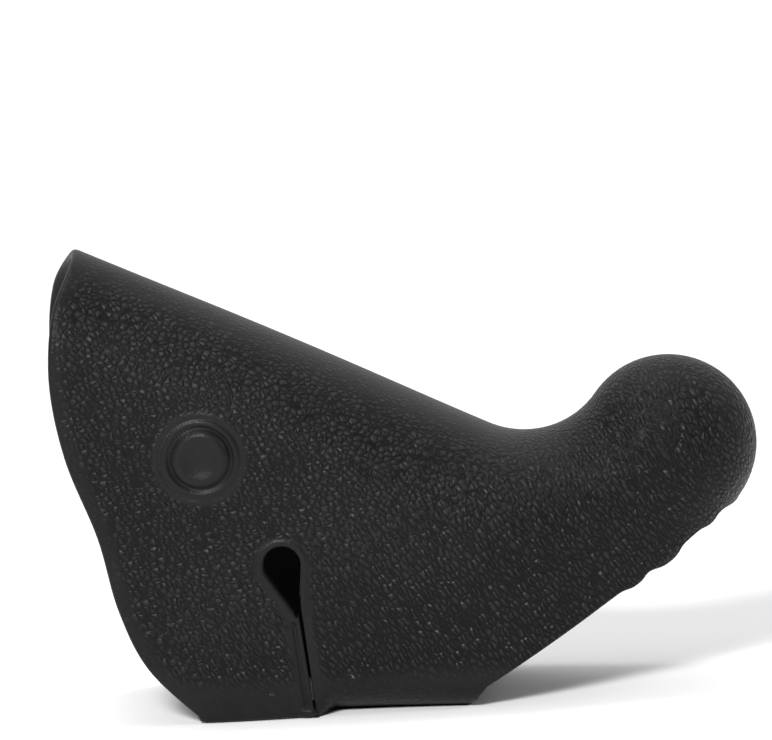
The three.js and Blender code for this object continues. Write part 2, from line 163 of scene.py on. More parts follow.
def crownDepth(x, z):
    # signed distance under the crown line, all in the side plane
    p = np.stack([x, z], -1)
    s = (p - crown["start"]) @ crown["along"]
    line = -((p - crown["start"]) @ crown["up"]) + crownBulge(s)
    line = np.where(s <= crown["reach"], line, np.inf)
    fromSaddle = p - crown["saddle"]
    angle = np.arctan2(fromSaddle[..., 1], fromSaddle[..., 0])
    first = math.atan2(-crown["up"][1], -crown["up"][0])
    inArc = (angle >= first) & (angle <= crown["toKnob"])
    saddle = np.where(inArc, np.hypot(*np.moveaxis(fromSaddle, -1, 0)) - hood["saddleRadius"], np.inf)
    fromKnob = p - crown["knob"]
    turn = np.mod(np.arctan2(fromKnob[..., 1], fromKnob[..., 0]) - crown["leaveAngle"], 2 * math.pi)
    back = np.mod(crown["toKnob"] + math.pi - crown["leaveAngle"], 2 * math.pi)
    knob = np.where(turn <= back, hood["knobRadius"] - np.hypot(*np.moveaxis(fromKnob, -1, 0)), np.inf)
    fromFoot = p - crown["foot"]
    side = np.array([crown["down"][1], -crown["down"][0]])
    exitLine = np.where(fromFoot @ crown["down"] >= 0, fromFoot @ side, np.inf)
    return np.minimum(np.minimum(line, saddle), np.minimum(knob, exitLine))


def crownTop(x):
    x = np.asarray(x, float)
    s = (x - crown["start"][0]) / crown["along"][0]
    line = crown["start"][1] + s * crown["along"][1] + crownBulge(s) / crown["along"][0]
    kx, kz = crown["knob"]
    sx, sz = crown["saddle"]
    knob = kz + np.sqrt(np.maximum(hood["knobRadius"] ** 2 - (x - kx) ** 2, 0))
    saddle = sz - np.sqrt(np.maximum(hood["saddleRadius"] ** 2 - (x - sx) ** 2, 0))
    return np.where(x > crown["joinX"], knob, np.where(x > crown["lineX"], saddle, line))


def footHeight(x):
    x = np.asarray(x, float)
    kx, kz = crown["knob"]
    arc = kz - np.sqrt(np.maximum(hood["knobRadius"] ** 2 - (x - kx) ** 2, 0))
    slope = crown["foot"][1] - (crown["foot"][0] - x) / math.tan(-crown["leaveAngle"])
    return np.where(x >= crown["foot"][0], arc, slope)


def wallHalfWidth(x, z):
    body = mix(hood["rearHalfWidth"], hood["bodyHalfWidth"],
               smoothStep(x, hood["bodyFull"] - hood["flareRun"], hood["bodyFull"]))
    base = mix(body, hood["knobHalfWidth"], smoothStep(x, hood["neckStart"], crown["knob"][0]))
    tuck = mix(hood["rearTuck"], hood["bottomTuck"],
               smoothStep(x, hood["tuckFrom"], hood["tuckFrom"] + hood["tuckRun"]))
    low = np.maximum(0, 1 - z / hood["waistHeight"])
    high = np.maximum(0, (z - hood["waistHeight"]) / (hood["crownStart"][1] - hood["waistHeight"]))
    return base - tuck * low ** 2 - hood["topLean"] * high ** 2


def halfWidth(x, z):
    x, z = np.broadcast_arrays(np.asarray(x, float), np.asarray(z, float))
    slitX = hole["slitFoot"][0]
    grown = slitX + hood["cornerRun"]
    fall = np.clip((x - grown) / (hood["chinX"] - grown), 0, 1)
    front = mix(hood["bridgeCorner"], hood["chinCorner"], fall)
    corner = mix(hood["rearCorner"], front, smoothStep(x, slitX - hole["slitWidth"], grown))
    turn = smoothStep(x, hood["shoulderFrom"], hood["shoulderFrom"] + hood["shoulderRun"])
    shoulder = mix(hood["shoulderRear"], hood["shoulderKnob"], turn)
    depth = np.clip(crownDepth(x, z) / shoulder, 0, 1)
    rounding = np.sqrt(np.maximum(0, 1 - (1 - depth) ** 2))
    height = np.clip(z, 0, corner)
    cut = corner - np.sqrt(np.maximum(0, corner ** 2 - (corner - height) ** 2))
    return np.maximum(0, wallHalfWidth(x, z) * rounding - cut)


# The sheet is drawn flat first: a runs along the hood, b round it from the crown, minus on the near side
def xFromA(a):
    kx, r = crown["knob"][0], hood["knobRadius"]
    return np.where(a > kx, kx + r * np.sin(np.clip((a - kx) / r, 0, math.pi / 2)), a)


def aFromX(x):
    kx, r = crown["knob"][0], hood["knobRadius"]
    x = np.asarray(x, float)
    return np.where(x > kx, kx + r * np.arcsin(np.clip((x - kx) / r, 0, 1)), x)


def sectionSpan(x):
    top = crownTop(x)
    low = np.maximum(footHeight(x), 0)
    return top, np.minimum(low, top)


def sideLength(x):
    top, low = sectionSpan(x)
    return 1.5 * (top - low)


def flatFromSide(x, z, side):
    top, low = sectionSpan(x)
    share = np.clip((top - z) / np.maximum(top - low, 1e-6), 0, 1)
    v = np.arccos(1 - 2 * share) / math.pi
    return np.stack([aFromX(x), side * v * sideLength(x)], -1)


def placeOnForm(flat):
    a, b = flat[:, 0], flat[:, 1]
    x = xFromA(a)
    side = np.where(b < 0, -1.0, 1.0)
    length = sideLength(x)
    top, low = sectionSpan(x)
    v = np.clip(np.abs(b) / np.maximum(length, 1e-9), 0, 1)
    z = top - (top - low) * (1 - np.cos(math.pi * v)) / 2
    y = halfWidth(x, z)
    y = np.where(np.abs(b) < 1e-7, 0, y)
    under = np.maximum(np.abs(b) - length, 0)
    y = np.maximum(y - under, 0)
    y = np.where(top - low < 1e-4, 0, y)
    return np.stack([x, side * y, z], -1)


def spline(points, count):
    pts = np.array(points, float)
    pts = np.vstack([2 * pts[0] - pts[1], pts, 2 * pts[-1] - pts[-2]])
    out = []
    for i in range(1, len(pts) - 2):
        p0, p1, p2, p3 = pts[i - 1:i + 3]
        for t in np.linspace(0, 1, count, endpoint=False):
            out.append(0.5 * (2 * p1 + (p2 - p0) * t + (2 * p0 - 5 * p1 + 4 * p2 - p3) * t ** 2
                              + (3 * p1 - p0 - 3 * p2 + p3) * t ** 3))
    out.append(pts[-2])
    return np.array(out)


def evenly(points, step):
    points = np.asarray(points, float)
    gaps = np.hypot(*np.diff(points, axis=0).T)
    run = np.concatenate([[0], np.cumsum(gaps)])
    count = max(1, int(round(run[-1] / step)))
    at = np.linspace(0, run[-1], count + 1)
    return np.stack([np.interp(at, run, points[:, 0]), np.interp(at, run, points[:, 1])], -1)


def rearEdgeLine():
    # pulled in by the rim's round, from the crown down to the free bottom edge
    edge = [(hood["crownStart"][0] - back, z) for back, z in hood["rearEdge"]]
    line = evenly(spline(edge, 16), 0.3)
    run = np.gradient(line, axis=0)
    run /= np.hypot(*run.T)[:, None]
    inward = np.stack([-run[:, 1], run[:, 0]], -1)
    line = line + inward * hood["rimRound"]
    inside = (line[:, 1] <= crownTop(line[:, 0])) & (line[:, 1] >= hood["bottomRound"])
    line = line[inside]
    first = np.array([[line[0, 0] + 0.1, 0.0]])
    first[0, 1] = crownTop(first[0, 0])
    return evenly(np.vstack([first, line]), 0.6)


def layOutMouth():
    # the front mouth's edge runs from the top of the chin to just under the knob's foot
    start = np.array([hood["chinX"] + hood["chinRun"], hood["chinRise"]])
    end = crown["foot"] - np.array([0, hood["footGap"]])
    length = np.hypot(*(end - start))
    along = (end - start) / length
    return {"start": start, "along": along, "out": np.array([along[1], -along[0]]), "length": length}


mouth = layOutMouth()


def mouthLine(lobed):
    # chin, then the long diagonal up to the knob's foot, pulled in by the rim's round
    s = np.linspace(0, mouth["length"] + 6, 600)
    out = hood["mouthBow"] * np.sin(math.pi * np.clip(s / mouth["length"], 0, 1)) - hood["rimRound"]
    fromFoot = mouth["length"] - s
    if lobed:
        for back, half, rise in lobes["lip"]:
            out = out + rise * np.exp(-np.abs((fromFoot - back) / (half * 0.72)) ** 3)
    back, half, rise = lobes["foot"]
    out = out + rise * np.exp(-np.abs((fromFoot - back) / (half * 0.8)) ** 3)
    line = mouth["start"] + s[:, None] * mouth["along"] + out[:, None] * mouth["out"]
    inside = line[:, 1] > footHeight(line[:, 0])
    line = line[:np.argmin(inside)] if not inside.all() else line
    chin = hood["chinX"] - hood["rimRound"]
    chinLine = np.array([[chin, 0.0], [chin + 0.1, 0.5]])
    end = line[-1] + np.array([0.06, 0.0])
    end[1] = footHeight(end[0])
    return evenly(np.vstack([chinLine, line, end]), 0.5)


def teardrop(grow, step=0.35):
    # from the tip up the rear side, round the top and down to the corner where the slit leaves
    centre = np.array(hole["centre"])
    radius = hole["radius"] + grow
    tip = np.array(hole["tip"])
    ends = []
    for point in (tip, tip + hole["tipSpan"]):
        spoke = point - centre
        length = np.hypot(*spoke) + grow * 1.5
        heading = math.atan2(spoke[1], spoke[0])
        end = centre + length * np.array([math.cos(heading), math.sin(heading)])
        ends.append((heading, math.acos(radius / length), end))
    (rear, rearSpread, rearTip), (front, frontSpread, corner) = ends
    turn = np.linspace(front + frontSpread, rear - rearSpread + 2 * math.pi, 60)
    arc = centre + radius * np.stack([np.cos(turn), np.sin(turn)], -1)
    return evenly(np.vstack([corner, arc, rearTip, corner]), step)


def slitFrame():
    top = np.array(hole["tip"]) + hole["tipSpan"] + np.array([0, hole["slitWidth"]])
    foot = np.array(hole["slitFoot"])
    along = (foot - top) / np.hypot(*(foot - top))
    return top, foot, along, np.array([-along[1], along[0]])


def slitAndHole():
    # from the bottom up the slit's rear side, round the teardrop and down its front side
    top, foot, along, side = slitFrame()
    half = hole["slitWidth"] / 2
    footHalf = half * hole["slitFootShare"]
    drop = teardrop(hole["rimRound"], 0.1)
    across = (drop - top) @ side
    down = (drop - top) @ along
    keep = ~((np.abs(across) < half) & (down > -2.5))
    loop = evenly(drop[np.argmax(keep):len(keep) - np.argmax(keep[::-1])], 0.32)[::-1]
    floorZ = hood["bottomRound"]

    def lowReach(s):
        return top + side * s + along * ((floorZ - top[1] - side[1] * s) / along[1])

    rear = evenly(np.array([lowReach(-footHalf), loop[0]]), 0.45)
    front = evenly(np.array([loop[-1], lowReach(footHalf)]), 0.45)
    return np.vstack([rear[:-1], loop, front[1:]])


def openingCurve(side, startX):
    # free edge of the underside opening: along the wall, then round across to the middle
    xs = np.arange(startX, hood["openingStart"], 0.6)
    flat = [flatFromSide(x, hood["bottomRound"], side) for x in xs]
    startLength = float(sideLength(hood["openingStart"]))
    base = abs(flatFromSide(hood["openingStart"], hood["bottomRound"], side)[1]) / startLength
    for turn in np.linspace(0, math.pi / 2, 26):
        q = math.sin(turn) ** (2 / 2.4)
        rest = math.cos(turn) ** (2 / 2.4)
        x = mix(hood["openingStart"], hood["openingEnd"], q)
        if x < startX:
            continue
        length = float(sideLength(x))
        whole = length + float(halfWidth(x, 0))
        b = whole - (whole - base * length) * rest
        flat.append(np.array([x, side * b]))
    return np.array(flat)


def halfOutline(side):
    near = side < 0
    rear = rearEdgeLine()
    part = [flatFromSide(rear[:, 0], rear[:, 1], side)]
    if near:
        cut = slitAndHole()
        xs = np.arange(rear[-1, 0] + 0.6, cut[0, 0] - 0.3, 0.6)
        part.append(np.array([flatFromSide(x, hood["bottomRound"], side) for x in xs]))
        part.append(flatFromSide(cut[:, 0], cut[:, 1], side))
        part.append(openingCurve(side, cut[-1, 0] + 0.25))
    else:
        part.append(openingCurve(side, rear[-1, 0] + 0.6))
    seam = np.arange(hood["openingEnd"] + 0.8, hood["chinX"] - hood["rimRound"] - 0.3, 0.85)
    part.append(np.stack([seam, side * (sideLength(seam) + halfWidth(seam, 0))], -1))
    chin = hood["chinX"] - hood["rimRound"]
    depth = np.linspace(float(halfWidth(chin, 0)), 0, 16)[:-1]
    part.append(np.stack([np.full(15, chin), side * (float(sideLength(chin)) + depth)], -1))
    mouth = mouthLine(near)
    part.append(flatFromSide(mouth[:, 0], mouth[:, 1], side))
    tipA = aFromX(crown["knob"][0] + hood["knobRadius"])
    a = np.linspace(float(aFromX(mouth[-1, 0])), float(tipA), 16)[1:-1]
    part.append(np.stack([a, side * sideLength(xFromA(a))], -1))
    return np.vstack(part)


def insidePolygon(points, polygon):
    inside = np.zeros(len(points), bool)
    px, py = points[:, 0], points[:, 1]
    for (x0, y0), (x1, y1) in zip(polygon, np.roll(polygon, -1, 0)):
        crosses = (y0 > py) != (y1 > py)
        if y0 != y1:
            inside ^= crosses & (px < (x1 - x0) * (py - y0) / (y1 - y0) + x0)
    return inside


def nearestGap(points, others):
    best = np.full(len(points), np.inf)
    for i in range(0, len(others), 64):
        chunk = others[i:i + 64]
        gap = np.hypot(points[:, None, 0] - chunk[None, :, 0], points[:, None, 1] - chunk[None, :, 1])
        best = np.minimum(best, gap.min(1))
    return best


def buttonFrame():
    x, z = button["centre"]
    step = 3.0
    slopeX = float(halfWidth(x + step, z) - halfWidth(x - step, z)) / (2 * step)
    slopeZ = float(halfWidth(x, z + step) - halfWidth(x, z - step)) / (2 * step)
    out = np.array([-slopeX, -1.0, -slopeZ])
    out /= np.linalg.norm(out)
    across = np.cross([0, 0, 1.0], out)
    across /= np.linalg.norm(across)
    return np.array([x, -float(halfWidth(x, z)), z]), out, across, np.cross(out, across)


def innerPoints(outline):
    step = hood["spacing"]
    tipA = float(aFromX(crown["knob"][0] + hood["knobRadius"]))
    rows = []
    for k, a in enumerate(np.arange(-51.5, tipA, step)):
        width = 1.6 * float(sideLength(xFromA(a))) + 20
        b = np.arange(0, width, step)
        b = np.concatenate([-b[:0:-1], b]) + (step / 2 if k % 2 else 0)
        rows.append(np.stack([np.full(len(b), a), b], -1))
    rows = np.vstack(rows)
    length = sideLength(xFromA(rows[:, 0]))
    rows = rows[np.abs(rows[:, 1]) < length + 18]

    # round the button and the teardrop the points follow their rings
    centre, out, across, up = buttonFrame()
    ringRadii = sorted({r for r, h in button["profile"]} | set(button["extraRings"]))
    rings = [flatFromSide(np.array([centre[0]]), np.array([centre[2]]), -1)]
    for r in ringRadii:
        if r <= 0:
            continue
        count = max(12, int(2 * math.pi * r / 0.5))
        turn = np.linspace(0, 2 * math.pi, count, endpoint=False)
        ring = centre + r * (np.cos(turn)[:, None] * across + np.sin(turn)[:, None] * up)
        rings.append(flatFromSide(ring[:, 0], ring[:, 2], -1))
    rings = np.vstack(rings)
    lips = [flatFromSide(*teardrop(g, 0.4).T, -1) for g in (0.6, 0.85, 1.1, 1.35, 1.65, 2.0)]
    top, foot, along, side = slitFrame()
    lines = []
    for shift in (-0.75, -0.95, -1.08, -1.17, -1.25, -1.33, -1.42, -1.55, -1.8, 0.8, 1.15):
        ends = np.array([top + along * 1.6 + side * shift, foot - along * 0.6 + side * shift])
        pts = evenly(ends, 0.45)
        pts = pts[pts[:, 1] > hood["bottomRound"] + 0.3]
        lines.append(flatFromSide(pts[:, 0], pts[:, 1], -1))
    lips = np.vstack(lips + lines)
    ovals = []
    for grow in (0.93, 0.955, 0.98, 1.0, 1.02, 1.045, 1.08):
        turn = np.linspace(0, 2 * math.pi, 120, endpoint=False)
        ovals.append(flatFromSide(panel["centre"][0] + panel["half"][0] * grow * np.cos(turn),
                                  panel["centre"][1] + panel["half"][1] * grow * np.sin(turn), 1))
    ovals = np.vstack(ovals)

    fine = np.vstack([rings, lips, ovals])
    keep = nearestGap(rows, outline) > step * 0.45
    rows = rows[keep]
    rows = rows[nearestGap(rows, fine) > step * 0.6]
    lips = lips[nearestGap(lips, outline) > 0.14]
    lips = lips[insidePolygon(lips, outline)]
    points = np.vstack([rows[insidePolygon(rows, outline)], rings, lips, ovals])
    return points


def fromPanel(x, z):
    # 1 on the panel's edge, less inside it
    acrossPanel = (x - panel["centre"][0]) / panel["half"][0]
    return np.hypot(acrossPanel, (z - panel["centre"][1]) / panel["half"][1])


def buildSheet():
    nearSide = halfOutline(-1)
    farSide = halfOutline(1)
    tipA = float(aFromX(crown["knob"][0] + hood["knobRadius"]))
    outline = np.vstack([nearSide, [[tipA, 0.0]], farSide[::-1]])
    outline = outline[np.hypot(*(outline - np.roll(outline, 1, 0)).T) > 0.02]
    points = innerPoints(outline)
    ridge = np.arange(-45, tipA - 0.4, 0.7)
    crownRow = np.stack([ridge, np.zeros(len(ridge))], -1)
    points = points[np.abs(points[:, 1]) > 0.35]
    points = np.vstack([points, crownRow])
    everything = np.vstack([outline, points])
    loop = list(range(len(outline)))
    verts, edges, faces, *_ = delaunay_2d_cdt([Vector(p) for p in everything], [], [loop], 1, 1e-6)
    flat = np.array([v[:] for v in verts])
    return flat, np.array([f[:] for f in faces]), outline


def reliefOn(points, flat):
    # height in mm of the moulded details on the outer face
    x, y, z = points.T
    near = flat[:, 1] < 0
    height = np.zeros(len(points))
    centre, out, across, up = buttonFrame()
    spokes = points - centre
    r = np.hypot(spokes @ across, spokes @ up)
    away = spokes @ out
    profile = np.array(button["profile"])
    rim = profile[-1, 0]
    boss = near & (r < rim) & (np.abs(away) < 4)
    flatness = 1 - smoothStep(r, button["flatTo"], rim)
    height = np.where(boss, np.interp(r, profile[:, 0], profile[:, 1]) - away * flatness, height)
    dropLine = teardrop(0, 0.1)
    gap = nearestGap(np.stack([x, z], -1), dropLine)
    top, foot, along, side = slitFrame()
    wide = hole["lipWidth"]
    lip = hole["lipHeight"] * np.sqrt(np.clip(gap / 0.35, 0, 1))
    lip = lip * (1 - smoothStep(gap, wide * 0.62, wide * 1.2))
    height = np.where(near & (gap < wide * 1.3), lip, height)
    fromTop = np.stack([x, z], -1) - top
    down, over = fromTop @ along, fromTop @ side
    fromGroove = np.abs(over + hole["grooveOffset"])
    grooveShape = 1 - smoothStep(fromGroove, hole["grooveHalf"] * 0.35, hole["grooveHalf"] * 1.2)
    start = top[1] - hole["tip"][1] + hole["grooveDrop"]
    groove = hole["grooveDepth"] * grooveShape * smoothStep(down, start - 0.3, start + 0.5)
    height = np.where(near & (down > 0.2) & (np.abs(over) < 3), height - groove, height)
    # the strip between groove and slit ends in a small tab at the bottom edge
    tab = np.exp(-np.abs((over + hole["grooveOffset"] * 0.5) / hole["tabHalf"]) ** 3)
    tab = tab * (1 - smoothStep(z, *hole["tabHeight"]))
    height = np.where(near & (over < -0.1) & (np.abs(over) < 3), height + tab, height)
    sunk = panel["depth"] * (1 - smoothStep(fromPanel(x, z), 0.955, 1.02))
    height = np.where(~near, height - sunk, height)
    # the lip stands out a little where its lobes are
    inMouth = np.stack([x, z], -1) - mouth["start"]
    fromFoot = mouth["length"] - inMouth @ mouth["along"]
    under = inMouth @ mouth["out"]
    for back, half, rise in lobes["lip"]:
        swell = 0.5 * rise * np.exp(-((fromFoot - back) / half) ** 2 - ((under + 0.2) / 1.3) ** 2)
        height = height + np.where(near, swell, 0)
    return height


def weld(points, faces, flat):
    key = np.round(points / 2e-3).astype(np.int64)
    _, first, index = np.unique(key, axis=0, return_index=True, return_inverse=True)
    index = index.reshape(-1)
    faces = index[faces]
    good = (faces[:, 0] != faces[:, 1]) & (faces[:, 1] != faces[:, 2]) & (faces[:, 2] != faces[:, 0])
    return points[first], faces[good], flat[first]


def vertexNormals(points, faces):
    a, b, c = (points[faces[:, i]] for i in range(3))
    normal = np.cross(b - a, c - a)
    total = np.zeros_like(points)
    for i in range(3):
        np.add.at(total, faces[:, i], normal)
    return total / np.maximum(np.linalg.norm(total, axis=1), 1e-12)[:, None]


def borderEdges(faces):
    edges = np.vstack([faces[:, [0, 1]], faces[:, [1, 2]], faces[:, [2, 0]]])
    key = np.sort(edges, axis=1)
    _, index, count = np.unique(key, axis=0, return_inverse=True, return_counts=True)
    return edges[count[index.reshape(-1)] == 1]


def rimBulge(points, flat):
    # how far the rounded rim stands past the sheet's edge, by place
    x, z = points[:, 0], points[:, 2]
    near = flat[:, 1] < 0
    bulge = np.full(len(points), hood["rimRound"])
    free = (x < hood["openingEnd"] + 0.5) & (z < hood["bottomRound"] + 0.2)
    thinner = 1 - 0.45 * smoothStep(x, -16, hood["openingEnd"])
    bulge = np.where(free, hood["bottomRound"] * thinner, bulge)
    top, foot, along, side = slitFrame()
    fromTop = np.stack([x, z], -1) - top
    inSlit = near & (np.abs(fromTop @ side) < 1) & (fromTop @ along > -1.5)
    inSlit = inSlit & (z > hood["bottomRound"] + 0.15)
    nearHole = near & (nearestGap(np.stack([x, z], -1), teardrop(0, 0.2)) < 0.6)
    bulge = np.where(nearHole, hole["rimRound"], bulge)
    return np.where(inSlit, hole["slitRound"], bulge)


def thickenSheet(points, faces, flat):
    normal = vertexNormals(points, faces)
    rimStart = hood["crownStart"][0] - hood["rimBack"]
    thick = mix(hood["rearWall"], hood["wall"], smoothStep(points[:, 0], rimStart, rimStart + hood["rimRun"]))
    relief = reliefOn(points, flat)
    outer = points + normal * relief[:, None]
    inner = points - normal * thick[:, None]
    border = borderEdges(faces)
    count = len(points)
    rimIds = np.unique(border)
    place = np.full(count, -1)
    place[rimIds] = np.arange(len(rimIds))
    outward = np.zeros_like(points)
    run = points[border[:, 1]] - points[border[:, 0]]
    run /= np.maximum(np.linalg.norm(run, axis=1), 1e-9)[:, None]
    for end in (0, 1):
        push = np.cross(run, normal[border[:, end]])
        np.add.at(outward, border[:, end], push)
    outward = outward[rimIds]
    outward /= np.maximum(np.linalg.norm(outward, axis=1), 1e-9)[:, None]
    bulge = rimBulge(points[rimIds], flat[rimIds])
    steps = 6
    rows = [rimIds]
    verts = [outer, inner]
    base = 2 * count
    for k in range(1, steps):
        turn = math.pi * k / steps
        depth = mix(relief[rimIds], -thick[rimIds], (1 - math.cos(turn)) / 2)
        push = bulge * math.sin(turn) ** 0.8
        verts.append(points[rimIds] + normal[rimIds] * depth[:, None] + outward * push[:, None])
        rows.append(base + np.arange(len(rimIds)))
        base += len(rimIds)
    rows.append(count + rimIds)
    faceList = [tuple(f) for f in faces] + [tuple(f[::-1] + count) for f in faces]
    for k in range(steps):
        for i, j in border:
            u, w = place[i], place[j]
            faceList.append((int(rows[k][w]), int(rows[k][u]), int(rows[k + 1][u]), int(rows[k + 1][w])))
    return np.vstack(verts), faceList, count


print("laying out the sheet")
flatPoints, sheetFaces, outline = buildSheet()
sheetPoints = placeOnForm(flatPoints)
sheetPoints, sheetFaces, flatPoints = weld(sheetPoints, sheetFaces, flatPoints)
print("sheet", len(sheetPoints), "points", len(sheetFaces), "triangles")
verts, faceList, outerCount = thickenSheet(sheetPoints, sheetFaces, flatPoints)
verts[:, 2] = np.maximum(verts[:, 2], 0)    # nothing reaches under the floor it lies on


# Where the grain starts and where it is full, in mm from each edge; the panel's are shares of its size
grainBands = {
    "crown": (0.6, 3.4),
    "neck": (14, 24),       # forward of here the crown is grained too
    "bottom": (4.2, 8.5),
    "rear": (0.5, 3.0),
    "button": (6.9, 7.7),
    "hole": (1.0, 2.0),
    "slit": (1.5, 2.6),
    "panel": (0.97, 1.05),
}


def grainZones(points, flat):
    # 1 where the leather-like grain is full, 0 on the smooth bands and inside
    x, y, z = points.T
    near = flat[:, 1] < 0
    depth = crownDepth(x, z)
    amount = mix(0.25, 1.0, smoothStep(depth, *grainBands["crown"]))
    amount = np.maximum(amount, 0.8 * smoothStep(x, *grainBands["neck"]))
    amount = amount * mix(0.15, 1.0, smoothStep(z, *grainBands["bottom"]))
    rear = nearestGap(np.stack([x, z], -1), rearEdgeLine())
    amount = amount * mix(0.25, 1.0, smoothStep(rear, *grainBands["rear"]))
    centre, out, across, up = buttonFrame()
    spokes = points - centre
    r = np.hypot(spokes @ across, spokes @ up)
    amount = np.where(near, amount * smoothStep(r, *grainBands["button"]), amount)
    gap = nearestGap(np.stack([x, z], -1), teardrop(0, 0.2))
    amount = np.where(near, amount * smoothStep(gap, *grainBands["hole"]), amount)
    top, foot, along, side = slitFrame()
    fromTop = np.stack([x, z], -1) - top
    beside = np.abs(fromTop @ side + 0.5)
    belowTop = near & (fromTop @ along > -0.5)
    amount = np.where(belowTop, amount * smoothStep(beside, *grainBands["slit"]), amount)
    amount = np.where(~near, amount * smoothStep(fromPanel(x, z), *grainBands["panel"]), amount)
    return np.clip(amount, 0, 1)


def hoodMesh():
    mesh = bpy.data.meshes.new("hoodRubber")
    mesh.from_pydata([tuple(v * mm) for v in verts], [], [tuple(int(i) for i in f) for f in faceList])
    mesh.validate()
    mesh.update()
    mesh.shade_smooth()
    grain = np.zeros(len(verts))
    coarse = np.zeros(len(verts))
    grain[:outerCount] = grainZones(sheetPoints, flatPoints)
    x, z = sheetPoints[:, 0], sheetPoints[:, 2]
    coarse[:outerCount] = smoothStep(x * 0.55 - z, -48, -8)
    outerSide = smoothStep(verts[:, 1], -4, 5)
    for name, values in (("grain", grain), ("coarse", coarse), ("outerSide", outerSide)):
        layer = mesh.attributes.new(name, "FLOAT", "POINT")
        layer.data.foreach_set("value", values.astype(np.float32))
    return mesh


rubberLook = {
    # the dark colour goes in the creases between the pebbles as painted shade, the lighter one on the pebble
    # tops as a painted highlight
    "base": (0.0016, 0.0016, 0.0018, 1),
    "paintedTopHighlight": (0.0175, 0.0175, 0.0181, 1),
    "scuffed": (0.20, 0.20, 0.20, 1),
    "roughness": (0.36, 0.48),     # on the pebbles' tops and in the creases
    "pebble": 1.05,                # mm, across a pebble on the lower walls
    "finePebble": 0.95,            # mm, on the crown, the rear and the knob
    "outerPebble": 1.5,            # mm, low on the outer side
    "stretch": 2.1,                # how much longer than wide the pebbles are
    "lean": 57,                    # degrees that they lean from level, down towards the knob
    "fineShape": (1.25, 30),       # stretch and lean of the fine pebbles
    "outerStretch": 1.3,
    "looseness": 0.85,             # how irregular the pebbles are, up to 1
    "sway": (230, 0.0009),         # how the rows of pebbles wander: scale and reach in m
    "pores": (2600, 0.10),         # scale, and height as a share of the grain's
    "patches": 55,                 # scale of the worn patches
    "specular": 0.16,
    "smoothBandLight": 0.5,             # how light the bands without grain are, between the painted crease shade and the painted highlight on the pebble tops
    "grainDepth": 0.56,            # mm
    "fineDepth": 0.33,
    # rubbed spots low on the thumb lever side: middle and half size, mm
    "scuffs": [((-7.2, 6.3), (1.5, 0.45)), ((-19.6, 4.2), (0.4, 0.3))],
}


def link(tree, fromNode, output, toNode, inputName):
    tree.links.new(fromNode.outputs[output], toNode.inputs[inputName])


def mathNode(tree, operation, *values):
    # each value is a number or a (node, output) pair
    node = tree.nodes.new("ShaderNodeMath")
    node.operation = operation
    for place, value in enumerate(values):
        if isinstance(value, tuple):
            link(tree, value[0], value[1], node, place)
        else:
            node.inputs[place].default_value = value
    return node, "Value"


def rangeNode(tree, source, fromMin, fromMax, toMin=0.0, toMax=1.0, smooth=False):
    node = tree.nodes.new("ShaderNodeMapRange")
    if smooth:
        node.interpolation_type = "SMOOTHSTEP"
    for name, value in (("From Min", fromMin), ("From Max", fromMax), ("To Min", toMin), ("To Max", toMax)):
        node.inputs[name].default_value = value
    link(tree, source[0], source[1], node, "Value")
    return node, "Result"


def mixNode(tree, amount, low, high):
    node = tree.nodes.new("ShaderNodeMix")
    node.data_type = "FLOAT"
    for place, source in ((0, amount), (2, low), (3, high)):
        link(tree, source[0], source[1], node, place)
    return node, 0


def noiseNode(tree, coords, scale, detail):
    node = tree.nodes.new("ShaderNodeTexNoise")
    node.inputs["Scale"].default_value = scale
    node.inputs["Detail"].default_value = detail
    link(tree, coords[0], coords[1], node, "Vector")
    return node


def pebbleNodes(tree, coords, size, stretch, lean):
    # rounded pebbles with thin creases between them, each with its own height
    turn = tree.nodes.new("ShaderNodeMapping")
    turn.inputs["Rotation"].default_value = (0, math.radians(-lean), 0)
    link(tree, coords[0], coords[1], turn, "Vector")
    squash = tree.nodes.new("ShaderNodeMapping")
    squash.inputs["Scale"].default_value = (1 / math.sqrt(stretch), 1, math.sqrt(stretch))
    link(tree, turn, "Vector", squash, "Vector")
    shapes = []
    for feature in ("DISTANCE_TO_EDGE", "F1"):
        cells = tree.nodes.new("ShaderNodeTexVoronoi")
        cells.feature = feature
        cells.inputs["Scale"].default_value = 1 / (size * mm)
        cells.inputs["Randomness"].default_value = rubberLook["looseness"]
        link(tree, squash, "Vector", cells, "Vector")
        shapes.append(cells)
    edge, middle = shapes
    plateau = rangeNode(tree, (edge, "Distance"), 0.0, 0.38, smooth=True)
    dome = rangeNode(tree, (middle, "Distance"), 0.0, 0.8, 1.0, 0.0)
    own = tree.nodes.new("ShaderNodeSeparateColor")
    link(tree, middle, "Color", own, "Color")
    level = rangeNode(tree, (own, "Red"), 0.0, 1.0, 0.45, 1.0)
    rounded = mathNode(tree, "MULTIPLY_ADD", dome, 0.6, 0.4)
    return mathNode(tree, "MULTIPLY", mathNode(tree, "MULTIPLY", plateau, rounded), level)


def scuffNodes(tree, place, spot, half):
    # a rubbed spot on the thumb lever side, broken up by fine noise
    flat = tree.nodes.new("ShaderNodeMapping")
    flat.vector_type = "TEXTURE"
    flat.inputs["Location"].default_value = (spot[0] * mm, -18 * mm, spot[1] * mm)
    flat.inputs["Scale"].default_value = (half[0] * mm, 4 * mm, half[1] * mm)
    link(tree, place[0], place[1], flat, "Vector")
    far = tree.nodes.new("ShaderNodeVectorMath")
    far.operation = "LENGTH"
    link(tree, flat, "Vector", far, 0)
    near = rangeNode(tree, (far, "Value"), 0.2, 1.0, 1.0, 0.0)
    specks = noiseNode(tree, place, 1800, 2)
    return mathNode(tree, "MULTIPLY", near, rangeNode(tree, (specks, "Fac"), 0.50, 0.62))


